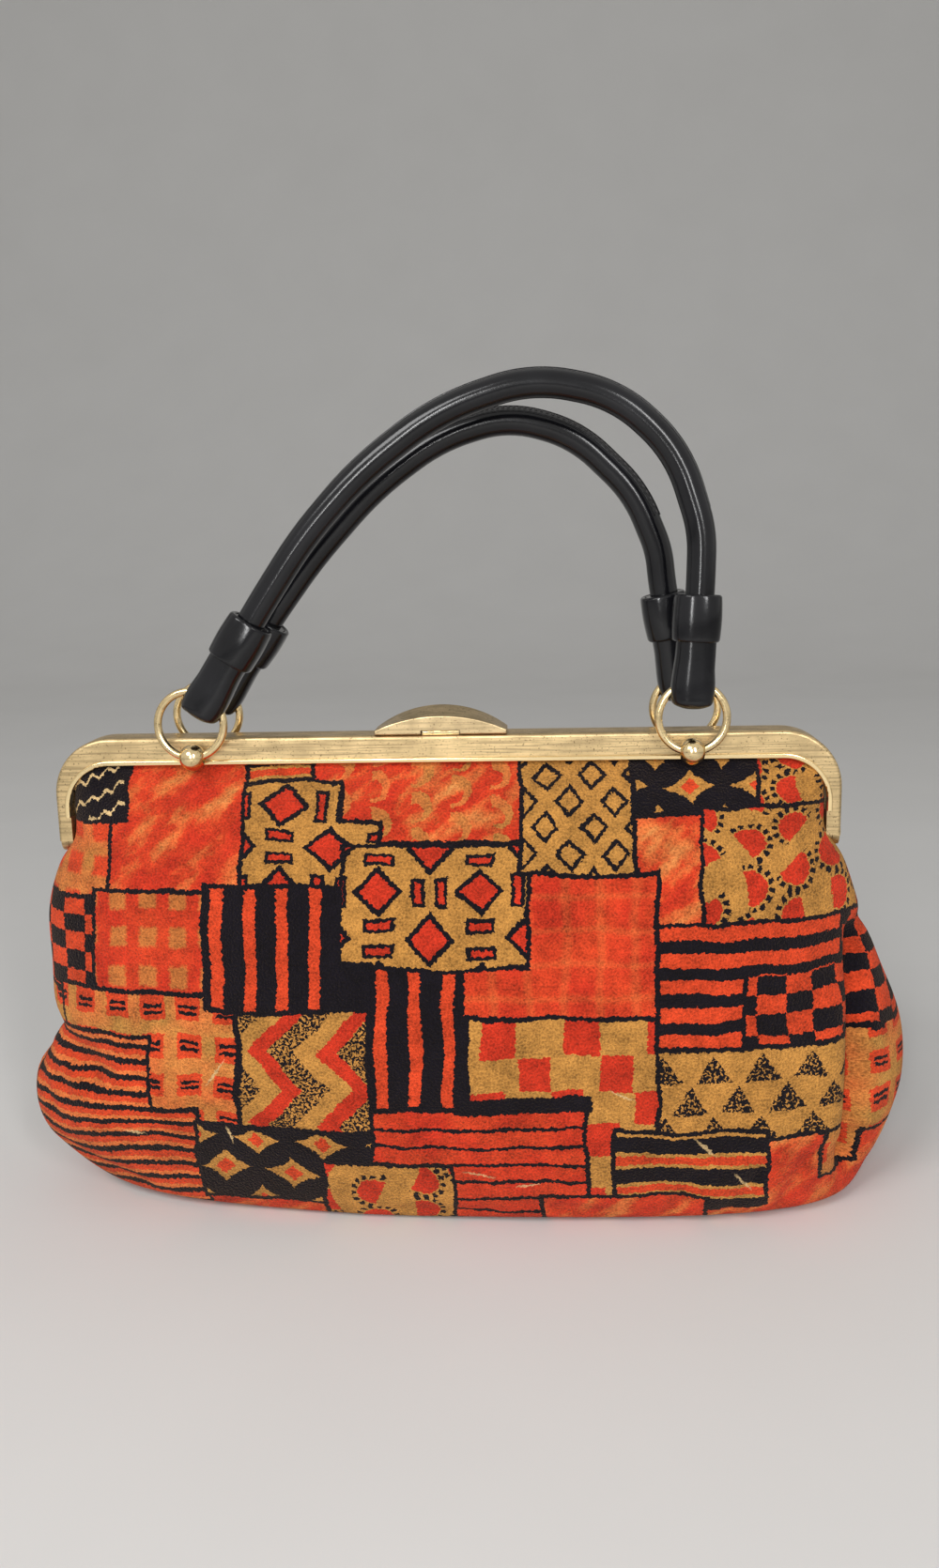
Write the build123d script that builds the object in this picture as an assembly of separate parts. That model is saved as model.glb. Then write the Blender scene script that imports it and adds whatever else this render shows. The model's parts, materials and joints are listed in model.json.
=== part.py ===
# Carpet handbag on a hinged gilt frame, with two rolled leather handles on rings.
# Origin: middle of the base on the floor. X runs along the bag, Y to its back, Z up.
from build123d import *
import math
import os

FRONT = -1
BACK = 1

# One overrun serves every cut
overrun = 4.0

# Gilt frame, in two hinged halves
frame_width = 300.0
frame_bar_height = 10.5
frame_arm_width = 5.5
frame_half_depth = 7.0
frame_half_gap = 0.2
frame_corner_radius = 22.0
frame_edge_round = 1.4
bead_width = 2.0
bead_proud = 0.8
bead_round = 0.6
slot_depth = 2.2
slot_width = 2.4
slot_inset = 2.0

# Hinge at the lower end of each frame arm
hinge_drop = 40.0
hinge_above_pouch = 9.0
opening_angle = 65.0
opening_spare = 3.0
ear_radius = 5.0
ear_relief = 0.4
ear_gap = 0.2
hinge_pin_radius = 1.5
hinge_running_clearance = 0.05
hinge_seat_clearance = 0.02
hinge_head_radius = 2.7
hinge_head_height = 0.9
hinge_head_gap = 0.05

# Ball lugs and the rings that hang on them
lug_spacing = 187.0
lug_ball_radius = 5.0
lug_stem_radius = 2.0
lug_stem_clearance = 0.1
lug_stand_off = 5.6
ring_radius = 12.5
ring_wire_radius = 1.5
ring_clearance = 0.1

# Rolled handles, both leaning a little towards each other
handle_lean = 2.0
handle_radius = 5.25
handle_rise = 134.5
strap_width = 13.5
strap_depth = 13.0
strap_corner = 4.5
strap_below_ring = 8.5
strap_clearance = 0.15
keeper_start = 15.4
keeper_height = 17.0
keeper_wall = 1.5
keeper_clearance = 0.1
tube_start = 24.0
bend_share = 0.45

# Tilt of each handle end in degrees, and how far its straight end runs
front_tilts = (33.0, 3.0)
back_tilts = (36.0, -11.0)
front_end_runs = (42.0, 38.0)
back_end_runs = (38.0, 36.0)

# Corners of the handle arches as shares of half the lug spacing and of the rise
front_arch_shares = (
    (-0.51, 0.606), (-0.28, 0.773), (0.03, 0.926), (0.385, 1), (0.706, 0.952), (0.936, 0.803), (1.032, 0.595)
)
back_arch_shares = (
    (-0.524, 0.54), (-0.262, 0.732), (0.011, 0.862), (0.289, 0.914), (0.556, 0.86), (0.79, 0.703), (0.886, 0.543)
)

# Fabric pouch below the hinges
pouch_length = 344.0
pouch_depth = 100.0
pouch_height = 132.5
pouch_fabric = 2.2
pouch_height_shares = (0, 0.02, 0.06, 0.14, 0.28, 0.45, 0.65, 0.85, 1)
pouch_length_shares = (0.80, 0.87, 0.925, 0.97, 1, 1, 0.98, 0.945, 0.92)
pouch_depth_shares = (0.74, 0.84, 0.90, 0.965, 1, 0.97, 0.88, 0.755, 0.676)
pouch_end_shares = (0.95, 0.90, 0.86, 0.78, 0.70, 0.66, 0.64, 0.64, 0.64)
base_panel_height = 4.5
gusset_width = 19.0

# Fabric above the hinges, split at the sides and gripped by the frame
panel_fabric = 2.0
panel_overlap = 1.0
panel_side_gap = 0.5
panel_frame_gap = 0.2
panel_pouch_gap = 0.6
panel_tuck = 1.8
panel_root = 1.0
panel_step = 0.2
panel_height_shares = (0, 0.25, 0.5, 0.75, 0.92, 1)
panel_bulge_shares = (1, 0.88, 0.68, 0.40, 0.13, 0)
panel_end_share = 0.70

# Stiffener and lining inside the pouch
board_thickness = 2.0
board_margin = 6.0
board_corner = 24.0
lining_fabric = 1.2
lining_gap = 0.3
lining_drop = 9.0

# Lift clasp on top of the frame
clasp_width = 50.0
clasp_front_height = 7.0
clasp_back_height = 10.0
clasp_end_height = 1.6
clasp_front_overhang = 0.9
clasp_gap = 0.3
clasp_round = 0.5
clasp_pin_radius = 0.9
clasp_pin_clearance = 0.05
clasp_knuckle_radius = 2.0
clasp_knuckle_length = 16.0
clasp_knuckle_gap = 0.3
clasp_base_knuckle = 6.0
clasp_pin_inset = 2.2
clasp_hinge_gap = 0.5
catch_length = 14.0
catch_width = 3.0
catch_height = 1.4
catch_slack = 0.5

# Places worked out from the sizes above
hinge_z = pouch_height + hinge_above_pouch
frame_top = hinge_z + hinge_drop
half_frame = frame_width / 2
half_opening = half_frame - frame_arm_width
opening_top = frame_top - frame_bar_height
opening_radius = frame_corner_radius - frame_arm_width
frame_face = frame_half_gap + frame_half_depth
slot_near = slot_inset + frame_half_gap
slot_bottom = hinge_z + ear_radius + ear_relief + overrun
lug_y = frame_face + bead_proud + lug_stand_off
lug_z = opening_top + bead_width + lug_stem_radius + lug_stem_clearance
half_lugs = lug_spacing / 2
gusset_start = pouch_length / 2 - gusset_width
strap_top = keeper_start + keeper_height
clasp_bottom = frame_top + clasp_gap
clasp_pin_y = frame_face - clasp_pin_inset
clasp_pin_z = clasp_bottom + clasp_knuckle_radius
clasp_front_y = -frame_face - clasp_front_overhang
clasp_back_y = clasp_pin_y - clasp_knuckle_radius - clasp_hinge_gap


def box(low, high):
    """Block between two opposite corners."""
    size = [high[i] - low[i] for i in range(len(low))]
    middle = [(high[i] + low[i]) / 2 for i in range(len(low))]
    return Pos(*middle) * Box(*size)


def rod_x(radius, x_start, x_end, y, z):
    """Round bar along X."""
    return extrude(Plane.YZ.offset(x_start) * Pos(y, z) * Circle(radius), x_end - x_start)


def slab_y(sketch, y_start, y_end):
    """Front-view sketch given a thickness along Y."""
    return extrude(Plane.XZ.offset(-y_start) * sketch, -(y_end - y_start))


def arch(half_width, top, bottom, radius):
    """Front-view outline with two round top corners."""
    outline = Pos(0, (top + bottom) / 2) * Rectangle(2 * half_width, top - bottom)
    return fillet(outline.vertices().sort_by(Axis.Y)[-2:], radius)


def opening(grow, bottom):
    """Outline of the frame's opening, grown outwards."""
    return arch(half_opening + grow, opening_top + grow, bottom, opening_radius + grow)


def span(end, reach):
    """Two distances from the middle as an X range at the left or the right end."""
    return sorted((end * reach[0], end * reach[1]))


def both_sides(make):
    """The same piece at the left and the right."""
    return [make(-1), make(1)]


# Frame
def frame_channel():
    """Back half of the frame before its hinge ears: band, bead and the slot that grips the fabric."""
    band = slab_y(arch(half_frame, frame_top, hinge_z, frame_corner_radius), frame_half_gap, frame_face)
    rim = band.faces().sort_by(Axis.Y)[-1].edges()
    band = fillet(rim.filter_by(lambda e: e.center().Z > hinge_z + ear_radius), frame_edge_round)
    band -= slab_y(opening(0, hinge_z - overrun), -overrun, frame_face + overrun)
    strip = opening(bead_width, slot_bottom) - opening(0, slot_bottom - overrun)
    bead = slab_y(strip, frame_half_gap, frame_face + bead_proud)
    bead_rim = bead.faces().sort_by(Axis.Y)[-1].edges()
    bead = fillet(bead_rim.filter_by(lambda e: e.center().Z > slot_bottom + overrun), bead_round)
    slot = opening(slot_depth, slot_bottom) - opening(-overrun, slot_bottom - overrun)
    return band + bead - slab_y(slot, slot_near, slot_near + slot_width)


def frame_half(side):
    """One half of the frame, with an ear on each arm that shares the hinge with the other half."""
    frame = frame_channel()
    if side == FRONT:
        frame = mirror(frame, Plane.XZ)
    middle = (half_opening + half_frame) / 2
    inner_ear = (half_opening, middle - ear_gap / 2)
    outer_ear = (middle + ear_gap / 2, half_frame)
    inner_cut = (half_opening - overrun, middle + ear_gap / 2)
    outer_cut = (middle - ear_gap / 2, half_frame + overrun)
    ear, cut = (inner_ear, outer_cut) if side == FRONT else (outer_ear, inner_cut)
    clearance = hinge_running_clearance if side == FRONT else hinge_seat_clearance
    hole = (half_opening - overrun, half_frame + overrun)
    for end in (-1, 1):
        frame -= rod_x(ear_radius + ear_relief, *span(end, cut), 0, hinge_z)
        frame += rod_x(ear_radius, *span(end, ear), 0, hinge_z)
        frame -= rod_x(hinge_pin_radius + clearance, *span(end, hole), 0, hinge_z)
    return frame


def hinge_pin(end):
    """Rivet with a domed head at each end."""
    inside = half_opening - hinge_head_gap
    outside = half_frame + hinge_head_gap
    pin = rod_x(hinge_pin_radius, *span(end, (inside, outside)), 0, hinge_z)
    for near, far in ((inside, inside - hinge_head_height), (outside, outside + hinge_head_height)):
        head = rod_x(hinge_head_radius, *span(end, (near, far)), 0, hinge_z)
        rim = head.faces().sort_by(lambda f: abs(f.center().X - end * far))[0].edges()
        pin += chamfer(rim, hinge_head_height / 2)
    return pin


# Rings and lugs
def ring_place(end, side):
    """Frame of one ring, at its lug and leaning with the handle."""
    return Pos(end * half_lugs, side * lug_y, lug_z) * Rot(X=side * handle_lean)


def lug(end, side):
    """Ball on a stem, with a flared hole that lets the ring swing."""
    ball = Pos(end * half_lugs, side * lug_y, lug_z) * Sphere(lug_ball_radius)
    stem_span = lug_y - frame_face
    stem_plane = Plane((end * half_lugs, side * frame_face, lug_z), z_dir=(0, side, 0))
    stem = extrude(stem_plane * Circle(lug_stem_radius), stem_span)
    reach = lug_ball_radius + overrun
    waist = ring_wire_radius + ring_clearance
    flare = waist + ring_radius - math.sqrt(ring_radius**2 - reach**2) + ring_clearance
    curve = ThreePointArc((-reach, flare), (0, waist), (reach, flare))
    edges = Polyline((reach, flare), (reach, 0), (-reach, 0), (-reach, flare))
    hole = revolve(make_face([curve, edges]), Axis.X)
    hole += rod_x(waist + ring_clearance, -lug_ball_radius, lug_ball_radius, 0, 0)
    return ball + stem - Pos(end * half_lugs, side * lug_y, lug_z) * hole


def ring(end, side, grow):
    loop = Torus(ring_radius, ring_wire_radius + grow)
    return ring_place(end, side) * Pos(0, 0, ring_radius) * Rot(X=90) * loop


# Handles
def strap_place(end, side, tilt):
    """Frame at the top of the leather fold, with Z along the handle's end."""
    return ring_place(end, side) * Pos(0, 0, ring_radius) * Rot(Y=tilt) * Pos(0, 0, ring_radius)


def strap(end, side, tilt):
    """Doubled leather that folds round the ring and goes up through its keeper."""
    height = strap_top + strap_below_ring
    middle = (strap_top - strap_below_ring) / 2
    plan = extrude(RectangleRounded(strap_width, strap_depth, strap_corner), height)
    fold = Pos(0, middle) * Rectangle(strap_depth, height)
    fold = fillet(fold.vertices().sort_by(Axis.Y)[:2], strap_corner)
    front = Pos(0, middle) * Rectangle(strap_width, height)
    front = fillet(front.vertices().sort_by(Axis.Y)[:2], strap_corner)
    solid = Pos(0, 0, -strap_below_ring) * plan
    solid &= extrude(Plane.YZ.offset(-strap_width) * fold, 2 * strap_width)
    solid &= slab_y(front, -strap_depth, strap_depth)
    return strap_place(end, side, tilt) * solid - ring(end, side, strap_clearance)


def keeper(end, side, tilt):
    """Leather band round the doubled strap."""
    inner_x = strap_width + 2 * keeper_clearance
    inner_y = strap_depth + 2 * keeper_clearance
    band = RectangleRounded(inner_x + 2 * keeper_wall, inner_y + 2 * keeper_wall, strap_corner + keeper_wall)
    band -= RectangleRounded(inner_x, inner_y, strap_corner)
    return strap_place(end, side, tilt) * Pos(0, 0, keeper_start) * extrude(band, keeper_height)


def end_point(end, tilt, run):
    """Point on a handle end's own line, in the handle's plane."""
    reach = ring_radius + run
    angle = math.radians(tilt)
    return Vector(end * half_lugs + reach * math.sin(angle), ring_radius + reach * math.cos(angle))


def arch_path(tilts, runs, shares):
    """Straight runs with bends as large as the runs allow."""
    points = [end_point(-1, tilts[0], tube_start), end_point(-1, tilts[0], runs[0])]
    points += [Vector(u * half_lugs, v * handle_rise) for u, v in shares]
    points += [end_point(1, tilts[1], runs[1]), end_point(1, tilts[1], tube_start)]
    radii = []
    for before, here, after in zip(points, points[1:], points[2:]):
        turn = math.radians((here - before).get_angle(after - here))
        shorter = min((here - before).length, (after - here).length)
        radii.append(bend_share * shorter / math.tan(turn / 2))
    return FilletPolyline(*points, radius=radii)


def handle(side, tilts, runs, shares):
    """One rolled tube with its two folded ends."""
    path = Plane.XZ * arch_path(tilts, runs, shares)
    start = Plane(path @ 0, z_dir=path % 0)
    tube = sweep(start * Circle(handle_radius), path)
    solid = Pos(0, side * lug_y, lug_z) * Rot(X=side * handle_lean) * tube
    for end, tilt in zip((-1, 1), tilts):
        solid += strap(end, side, tilt)
    return solid


# Fabric
def pillow(length, depth, end_radius):
    """Outline with two bowed sides that run smoothly into round ends."""
    half = depth / 2
    reach = length / 2 - end_radius
    side_radius = (reach ** 2 + half ** 2 - end_radius ** 2) / (2 * (half - end_radius))
    turn_share = end_radius / (side_radius - end_radius)
    x = reach * (1 + turn_share)
    y = (side_radius - half) * turn_share
    front = ThreePointArc((-x, -y), (0, -half), (x, -y))
    right = ThreePointArc((x, -y), (length / 2, 0), (x, y))
    back = ThreePointArc((x, y), (0, half), (-x, y))
    left = ThreePointArc((-x, y), (-length / 2, 0), (-x, -y))
    return make_face([front, right, back, left])


def pouch_solid(inset):
    """Sagging bag form, drawn in by an inset and carried on past its mouth."""
    sections = []
    levels = zip(pouch_height_shares, pouch_length_shares, pouch_depth_shares, pouch_end_shares)
    for z_share, x_share, y_share, end_share in levels:
        depth = pouch_depth * y_share
        end_radius = depth / 2 * end_share - inset
        outline = pillow(pouch_length * x_share - 2 * inset, depth - 2 * inset, end_radius)
        sections.append(Pos(0, 0, pouch_height * z_share) * outline)
    body = loft(sections, ruled=True)
    return body + extrude(sections[-1], overrun) if inset else body


def pouch_shell():
    hollow = pouch_solid(pouch_fabric)
    reach = pouch_length
    hollow &= box((-reach, -reach, pouch_fabric), (reach, reach, pouch_height + overrun))
    return pouch_solid(0) - hollow


def pouch_pieces():
    """Base, two end gussets, front and back, cut from one shell along their seams."""
    shell = pouch_shell()
    far = pouch_length
    above = base_panel_height
    left = box((-far, -far, above), (-gusset_start, far, far))
    right = box((gusset_start, -far, above), (far, far, far))
    front = box((-gusset_start, -far, above), (gusset_start, 0, far))
    back = box((-gusset_start, 0, above), (gusset_start, far, far))
    return {
        "base_panel": shell & box((-far, -far, -far), (far, far, above)),
        "left_gusset": shell & left,
        "right_gusset": shell & right,
        "lower_front_panel": shell & front,
        "lower_back_panel": shell & back,
    }


def tent(inset):
    """Wedge of fabric between the pouch's mouth and the frame."""
    bottom = pouch_height - panel_overlap
    top = opening_top - panel_frame_gap
    mouth = pouch_depth * pouch_depth_shares[-1] / 2 - pouch_fabric - panel_pouch_gap
    edge = slot_near + panel_frame_gap + panel_fabric - panel_step
    sections = []
    for z_share, bulge in zip(panel_height_shares, panel_bulge_shares):
        half_depth = edge + (mouth - edge) * bulge
        length = 2 * (half_opening - panel_side_gap - inset)
        outline = pillow(length, 2 * (half_depth - inset), half_depth * panel_end_share - inset)
        sections.append(Pos(0, 0, bottom + (top - bottom) * z_share) * outline)
    return loft(sections, ruled=True)


def upper_panel(side):
    """Fabric above the hinge, with its edge tucked into the frame's slot."""
    near = slot_near + panel_frame_gap
    far = pouch_depth
    half = box((-far * 2, slot_near - panel_frame_gap, 0), (far * 2, far, frame_top))
    if side == FRONT:
        half = mirror(half, Plane.XZ)
    cloth = (tent(0) - tent(panel_fabric)) & half
    cloth &= slab_y(opening(-panel_frame_gap, 0), -far, far)
    hem = opening(panel_tuck, slot_bottom + panel_frame_gap) - opening(-panel_root, slot_bottom - overrun)
    cloth += slab_y(hem, side * near, side * (near + panel_fabric))
    for end in (-1, 1):
        head = span(end, (half_opening - hinge_head_height - overrun, half_opening))
        cloth -= rod_x(hinge_head_radius + ear_relief, *head, 0, hinge_z)
    return cloth - swing_room() if side == FRONT else cloth


def swing_room():
    """Wedge below the hinge that the front panel's ends would turn through as the frame opens."""
    drop = hinge_z - pouch_height + panel_overlap + overrun
    reach = drop * math.tan(math.radians(opening_angle + opening_spare))
    wedge = make_face(Polyline((0, hinge_z), (0, hinge_z - drop), (-reach, hinge_z - drop), close=True))
    return extrude(Plane.YZ.offset(-half_frame) * wedge, frame_width)


def base_board():
    length = pouch_length * pouch_length_shares[0] - 2 * board_margin
    depth = pouch_depth * pouch_depth_shares[0] - 2 * board_margin
    return Pos(0, 0, pouch_fabric) * extrude(RectangleRounded(length, depth, board_corner), board_thickness)


def lining():
    inset = pouch_fabric + lining_gap
    floor = pouch_fabric + board_thickness + lining_gap
    top = pouch_height - lining_drop
    reach = pouch_length
    outside = pouch_solid(inset) & box((-reach, -reach, floor), (reach, reach, top))
    inside = pouch_solid(inset + lining_fabric)
    return outside - (inside & box((-reach, -reach, floor + lining_fabric), (reach, reach, top + overrun)))


# Clasp
def clasp_face(height, y):
    """Front-view segment with a flat foot and a round top."""
    half = clasp_width / 2
    top = ThreePointArc((half, clasp_end_height), (0, height), (-half, clasp_end_height))
    foot = Polyline((-half, clasp_end_height), (-half, 0), (half, 0), (half, clasp_end_height))
    return Plane((0, y, clasp_bottom), x_dir=(1, 0, 0), z_dir=(0, -1, 0)) * make_face([top, foot])


def clasp_lever():
    lever = loft([clasp_face(clasp_front_height, clasp_front_y), clasp_face(clasp_back_height, clasp_back_y)])
    lever = fillet(lever.faces().sort_by(Axis.Y)[0].edges(), clasp_round)
    half = clasp_knuckle_length / 2
    lever += rod_x(clasp_knuckle_radius, -half, half, clasp_pin_y, clasp_pin_z)
    lever += box((-half, clasp_back_y - clasp_knuckle_radius, clasp_bottom), (half, clasp_pin_y, clasp_pin_z))
    lever -= rod_x(clasp_pin_radius + clasp_pin_clearance, -clasp_width, clasp_width, clasp_pin_y, clasp_pin_z)
    half_catch = catch_length / 2 + catch_slack
    pocket_top = frame_top + catch_height + catch_slack
    pocket = box((-half_catch, clasp_front_y - overrun, frame_top), (half_catch, 0, pocket_top))
    return lever - pocket


def clasp_base():
    """Pair of knuckles that stand on the back half of the frame."""
    start = clasp_knuckle_length / 2 + clasp_knuckle_gap
    end = start + clasp_base_knuckle
    base = []
    for x_start, x_end in ((-end, -start), (start, end)):
        block = rod_x(clasp_knuckle_radius, x_start, x_end, clasp_pin_y, clasp_pin_z)
        low = (x_start, clasp_pin_y - clasp_knuckle_radius, frame_top)
        block += box(low, (x_end, clasp_pin_y + clasp_knuckle_radius, clasp_pin_z))
        base.append(block - rod_x(clasp_pin_radius, -end, end, clasp_pin_y, clasp_pin_z))
    return base


def clasp_pin():
    half = clasp_knuckle_length / 2 + clasp_knuckle_gap + clasp_base_knuckle
    return rod_x(clasp_pin_radius, -half, half, clasp_pin_y, clasp_pin_z)


def clasp_catch():
    """Rib on the front half of the frame, which the lever closes over."""
    half = catch_length / 2
    y_middle = -frame_half_gap - frame_half_depth / 2
    low = (-half, y_middle - catch_width / 2, frame_top)
    rib = box(low, (half, y_middle + catch_width / 2, frame_top + catch_height))
    return fillet(rib.faces().sort_by(Axis.Z)[-1].edges(), catch_height / 3)


def nodes():
    """Every piece by name."""
    front = (front_tilts, front_end_runs, front_arch_shares)
    back = (back_tilts, back_end_runs, back_arch_shares)
    pieces = {
        "back_frame": frame_half(BACK),
        "front_frame": frame_half(FRONT),
        "hinge_pins": both_sides(hinge_pin),
        "clasp_lever": clasp_lever(),
        "clasp_base": clasp_base(),
        "clasp_pin": clasp_pin(),
        "clasp_catch": clasp_catch(),
        "upper_front_panel": upper_panel(FRONT),
        "upper_back_panel": upper_panel(BACK),
        "base_board": base_board(),
        "lining": lining(),
    }
    pieces.update(pouch_pieces())
    for name, side, shape in (("front", FRONT, front), ("back", BACK, back)):
        tilts = dict(zip((-1, 1), shape[0]))
        pieces[name + "_lugs"] = both_sides(lambda end: lug(end, side))
        pieces[name + "_rings"] = both_sides(lambda end: ring(end, side, 0))
        pieces[name + "_keepers"] = both_sides(lambda end: keeper(end, side, tilts[end]))
        pieces[name + "_handle"] = handle(side, *shape)
    return pieces


def main():
    os.makedirs("parts", exist_ok=True)
    for name, piece in nodes().items():
        solids = piece if isinstance(piece, list) else [piece]
        export_step(Compound([s for part in solids for s in part.solids()]), "parts/" + name + ".step")


main()
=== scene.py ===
# Carpet handbag on a hinged gilt frame: its cloth, leather and metal, with light and camera.
import json
import math

import bmesh
import bpy
import numpy as np
from mathutils import Matrix, Vector
from mathutils.bvhtree import BVHTree

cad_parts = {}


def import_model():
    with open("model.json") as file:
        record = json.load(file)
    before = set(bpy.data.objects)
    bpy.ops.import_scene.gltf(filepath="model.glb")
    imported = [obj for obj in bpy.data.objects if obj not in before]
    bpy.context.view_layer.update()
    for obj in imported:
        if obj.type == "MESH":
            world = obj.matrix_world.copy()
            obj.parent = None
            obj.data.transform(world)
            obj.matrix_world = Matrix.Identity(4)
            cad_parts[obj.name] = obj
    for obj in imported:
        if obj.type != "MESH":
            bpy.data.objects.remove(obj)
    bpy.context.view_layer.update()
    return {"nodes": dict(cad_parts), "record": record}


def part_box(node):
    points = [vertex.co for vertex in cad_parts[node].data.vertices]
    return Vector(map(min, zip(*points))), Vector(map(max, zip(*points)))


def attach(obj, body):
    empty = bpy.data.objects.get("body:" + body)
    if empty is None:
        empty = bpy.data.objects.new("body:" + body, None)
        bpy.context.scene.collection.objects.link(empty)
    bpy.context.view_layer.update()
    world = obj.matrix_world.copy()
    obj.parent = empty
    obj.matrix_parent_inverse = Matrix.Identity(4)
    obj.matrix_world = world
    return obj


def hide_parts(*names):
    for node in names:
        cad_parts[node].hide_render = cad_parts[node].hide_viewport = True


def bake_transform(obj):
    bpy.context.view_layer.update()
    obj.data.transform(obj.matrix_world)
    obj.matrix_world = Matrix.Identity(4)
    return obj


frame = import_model()

MM = 0.001
FRONT = -1
BACK = 1

# Sizes read from the frame, in millimetres
half_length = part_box("right_gusset")[1][0] / MM
half_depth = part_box("lower_back_panel")[1][1] / MM
pouch_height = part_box("right_gusset")[1][2] / MM
half_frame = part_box("front_frame")[1][0] / MM
frame_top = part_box("front_frame")[1][2] / MM
arm_width = 5.5
bar_height = 10.5
lip_z = frame_top - bar_height
half_opening = half_frame - arm_width
hinge_above_pouch = 9.0
hinge_z = pouch_height + hinge_above_pouch

# Photo size and the camera that took it
photo_height = 1670
focal_pixels = 1400
camera_azimuth = 3.45
camera_elevation = 11.2
camera_distance = 505.7
camera_roll = -1.29
camera_target = (10.1, 0, 161.1)
sensor_height = 36

# Floor and backdrop in metres
FLOOR_REACH = 6.0
FLOOR_BACK = 1.6
COVE_RADIUS = 1.2
COVE_STEPS = 24
BACKDROP_HEIGHT = 4.0
FLOOR_COLOURS = ((0.70, 0.69, 0.67), (0.75, 0.74, 0.72))

# Light of the surroundings, and their colour where they are seen
WORLD_COLOUR = (0.80, 0.80, 0.80, 1)
WORLD_STRENGTH = 0.44
SEEN_COLOUR = (0.70, 0.69, 0.67, 1)

# Soft boxes: name, place, target, width and height in metres, and watts
LAMPS = (
    ("key", (-0.8, -1.3, 1.4), (0, 0, 0.12), (0.8, 0.6), 15),
    ("fill", (0.55, -1.25, 0.75), (0, 0, 0.15), (0.16, 0.7), 7),
    ("spark", (-0.12, -0.95, 0.42), (0, 0, 0.2), (0.05, 0.40), 2.4),
)

# Levels of the cloth from the frame's lip down to the middle of the base: height and left and right
# half-length in mm, half-depth as a share of the bag's, and how square its left and right ends are
LEVELS = (
    (lip_z + 1.0, half_opening - 0.6, half_opening - 0.6, 0.088, 9.0, 9.0),
    (lip_z - 3.0, half_opening - 0.6, half_opening - 0.6, 0.150, 6.0, 6.0),
    (lip_z - 9.0, half_opening - 0.6, half_opening - 0.6, 0.260, 4.6, 4.6),
    (lip_z - 18.0, half_opening - 0.5, half_opening - 0.5, 0.400, 3.7, 3.7),
    (lip_z - 28.0, half_opening + 0.5, half_opening + 0.5, 0.530, 3.1, 3.1),
    (pouch_height, 0.880 * half_length, 0.884 * half_length, 0.660, 2.9, 2.9),
    (0.87 * pouch_height, 0.905 * half_length, 0.925 * half_length, 0.765, 2.9, 2.9),
    (0.70 * pouch_height, 0.903 * half_length, 0.980 * half_length, 0.885, 2.9, 2.9),
    (0.52 * pouch_height, 0.915 * half_length, 1.030 * half_length, 0.968, 2.9, 3.0),
    (0.36 * pouch_height, 0.965 * half_length, 1.036 * half_length, 1.0, 2.7, 3.1),
    (0.23 * pouch_height, 0.955 * half_length, 1.010 * half_length, 0.988, 2.4, 3.2),
    (0.12 * pouch_height, 0.905 * half_length, 0.972 * half_length, 0.940, 2.15, 3.3),
    (0.05 * pouch_height, 0.845 * half_length, 0.930 * half_length, 0.870, 2.05, 3.4),
    (0.015 * pouch_height, 0.780 * half_length, 0.885 * half_length, 0.790, 2.0, 3.5),
    (0.003 * pouch_height, 0.690 * half_length, 0.820 * half_length, 0.680, 2.0, 3.6),
    (0.002 * pouch_height, 0.500 * half_length, 0.550 * half_length, 0.340, 2.2, 4.0),
    (0.002 * pouch_height, 0.004 * half_length, 0.004 * half_length, 0.003, 2.2, 4.0),
)
# Base board inside the cloth: the level that it follows, its share of that level, and its heights in mm
BOARD_LEVEL = 13
BOARD_SHARE = 0.90
BOARD_STEPS = 60
BOARD_LIFT = 1.6
BOARD_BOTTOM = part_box("base_board")[0][2] / MM + BOARD_LIFT
BOARD_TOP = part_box("base_board")[1][2] / MM + BOARD_LIFT

# Cloth and lining: fine steps round a level, steps per level and along it, thicknesses and inset in mm, and
# flat size in metres
FINE = 600
CLOTH_GRID = (8, 220)
LINING_GRID = (5, 130)
CLOTH_THICKNESS = 1.6
LINING_INSET = 2.6
LINING_THICKNESS = 0.7

# Handles' distance from the middle in mm
HANDLE_Y = 13.6

# Handle seam: hub of its fan of rays from the box's middle and foot in mm, angles, slant from level in
# degrees, spread in radians, thicknesses in mm, points in a stitch and from one to the next, and sides
SEAM_HUB = (6, 62)
SEAM_ANGLES = (168, 8)
SEAM_STEPS = 320
SEAM_SLANT = 38
SEAM_SPREAD = 0.24
SEAM_EDGE = 0.40
SEAM_THREAD = 0.45
STITCH_POINTS = 3
STITCH_PITCH = 4
SEAM_SIDES = 6
# Step into the leather before the second ray, and reach of the rays from outside, in mm
SEAM_STEP_IN = 2
SEAM_REACH = 20

# Handle ends: lean and tilts in degrees, ring in mm, sides and steps, squareness, and the folded leather and
# its band along the strap from the ring's top as height, half-width and half-depth in mm
HANDLE_LEAN = 2.0
HANDLE_TILTS = {FRONT: (33.0, 3.0), BACK: (36.0, -11.0)}
RING_RADIUS = 12.5
END_SIDES = 48
END_STEPS = 5
END_SQUARE = 2.6
FOLD_LEVELS = (
    (-9.3, 0.3, 0.3), (-9.1, 2.6, 2.5), (-8.5, 4.9, 4.6), (-7.2, 7.2, 6.75), (-4.5, 7.9, 7.0),
    (0.0, 8.0, 7.05), (6.0, 7.5, 6.95), (11.0, 7.1, 6.9), (17.0, 7.05, 6.85),
)
BAND_LEVELS = (
    (15.8, 6.6, 6.4), (15.4, 7.6, 7.4), (15.8, 8.35, 8.1), (17.2, 8.7, 8.4), (24.0, 8.95, 8.6),
    (30.8, 8.6, 8.3), (32.1, 8.25, 8.0), (32.5, 7.5, 7.3), (32.2, 6.6, 6.4),
)

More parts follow.
